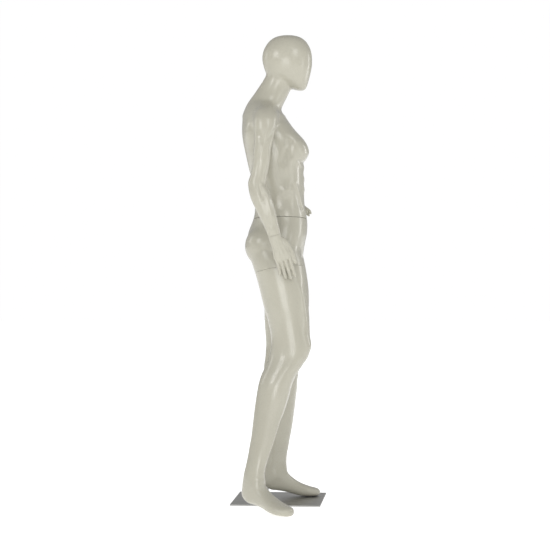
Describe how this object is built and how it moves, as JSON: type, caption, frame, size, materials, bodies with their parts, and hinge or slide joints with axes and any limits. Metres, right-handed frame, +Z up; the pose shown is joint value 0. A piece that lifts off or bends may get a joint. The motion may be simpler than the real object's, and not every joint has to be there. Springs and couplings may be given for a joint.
{
  "type": "full body display mannequin",
  "caption": "Egg-head display mannequin in cream plastic, one hand on the waist, lifting off a heel spigot on a square steel base; it parts at waist, thigh, shoulders and wrists.",
  "frame": {"origin": "centre of the square base, on the plane its pads rest on", "axes": "+Z up; the figure faces +X and its left side is +Y; the spigot and the supporting leg stand behind and beside the origin"},
  "size_m": [0.3818, 0.726, 1.8211],
  "materials": {
    "cream_plastic": "smooth gloss",
    "grey_board": "matte",
    "zinc_fitting": "zinc plated",
    "brushed_steel": "brushed",
    "pad_rubber": "matte"
  },
  "bodies": {
    "base": {"base_plate": "brushed_steel", "pad_centre": "pad_rubber", "pad_front_left": "pad_rubber", "pad_front_right": "pad_rubber", "pad_rear_left": "pad_rubber", "pad_rear_right": "pad_rubber", "spigot_rod": "brushed_steel", "spigot_bolt": "zinc_fitting"},
    "lower_body": {"lower_body_shell": "cream_plastic", "heel_socket": "zinc_fitting", "heel_grub_screw": "zinc_fitting", "waist_lower_board": "grey_board", "waist_catch": "zinc_fitting", "thigh_hip_board": "grey_board", "thigh_catch": "zinc_fitting"},
    "right_leg": {"right_leg_shell": "cream_plastic", "thigh_leg_board": "grey_board", "thigh_peg": "zinc_fitting", "thigh_screw_1": "zinc_fitting", "thigh_screw_2": "zinc_fitting", "thigh_screw_3": "zinc_fitting"},
    "torso": {"torso_shell": "cream_plastic", "waist_upper_board": "grey_board", "waist_peg": "zinc_fitting", "waist_screw_1": "zinc_fitting", "waist_screw_2": "zinc_fitting", "waist_screw_3": "zinc_fitting", "right_shoulder_chest_board": "grey_board", "right_shoulder_catch": "zinc_fitting", "left_shoulder_chest_board": "grey_board", "left_shoulder_catch": "zinc_fitting"},
    "right_arm": {"right_arm_shell": "cream_plastic", "right_shoulder_arm_board": "grey_board", "right_shoulder_peg": "zinc_fitting", "right_shoulder_screw_1": "zinc_fitting", "right_shoulder_screw_2": "zinc_fitting", "right_wrist_board": "grey_board"},
    "right_hand": {"right_hand": "cream_plastic", "right_wrist_peg": "zinc_fitting"},
    "left_arm": {"left_arm_shell": "cream_plastic", "left_shoulder_arm_board": "grey_board", "left_shoulder_peg": "zinc_fitting", "left_shoulder_screw_1": "zinc_fitting", "left_shoulder_screw_2": "zinc_fitting", "left_wrist_board": "grey_board"},
    "left_hand": {"left_hand": "cream_plastic", "left_wrist_peg": "zinc_fitting"}
  },
  "joints": [
    {"name": "figure_lift", "type": "slide", "parent": "base", "child": "lower_body", "axis": [0, 0, 1], "range_m": [0, 0.1]},
    {"name": "waist_turn", "type": "hinge", "parent": "lower_body", "child": "torso", "pos_m": [0.004, -0.085, 1.108], "axis": [0, 0.0872, 0.9962], "range_deg": [0, 45]},
    {"name": "right_thigh_turn", "type": "hinge", "parent": "lower_body", "child": "right_leg", "pos_m": [0.002, -0.178, 0.912], "axis": [0.1541, -0.1736, -0.9727], "range_deg": [0, 20]},
    {"name": "right_shoulder_turn", "type": "hinge", "parent": "torso", "child": "right_arm", "pos_m": [-0.05, -0.216, 1.49], "axis": [0, -1, 0], "range_deg": [0, 60]},
    {"name": "left_shoulder_turn", "type": "hinge", "parent": "torso", "child": "left_arm", "pos_m": [-0.05, 0.046, 1.482], "axis": [0, -1, 0], "range_deg": [0, 45]},
    {"name": "right_wrist_turn", "type": "hinge", "parent": "right_arm", "child": "right_hand", "pos_m": [-0.018, -0.303, 1.046], "axis": [0.2921, 0.0266, -0.956], "range_deg": [-15, 15]},
    {"name": "left_wrist_turn", "type": "hinge", "parent": "left_arm", "child": "left_hand", "pos_m": [-0.024, 0.096, 1.203], "axis": [0.3216, -0.8906, -0.3216], "range_deg": [-8, 8]}
  ]
}
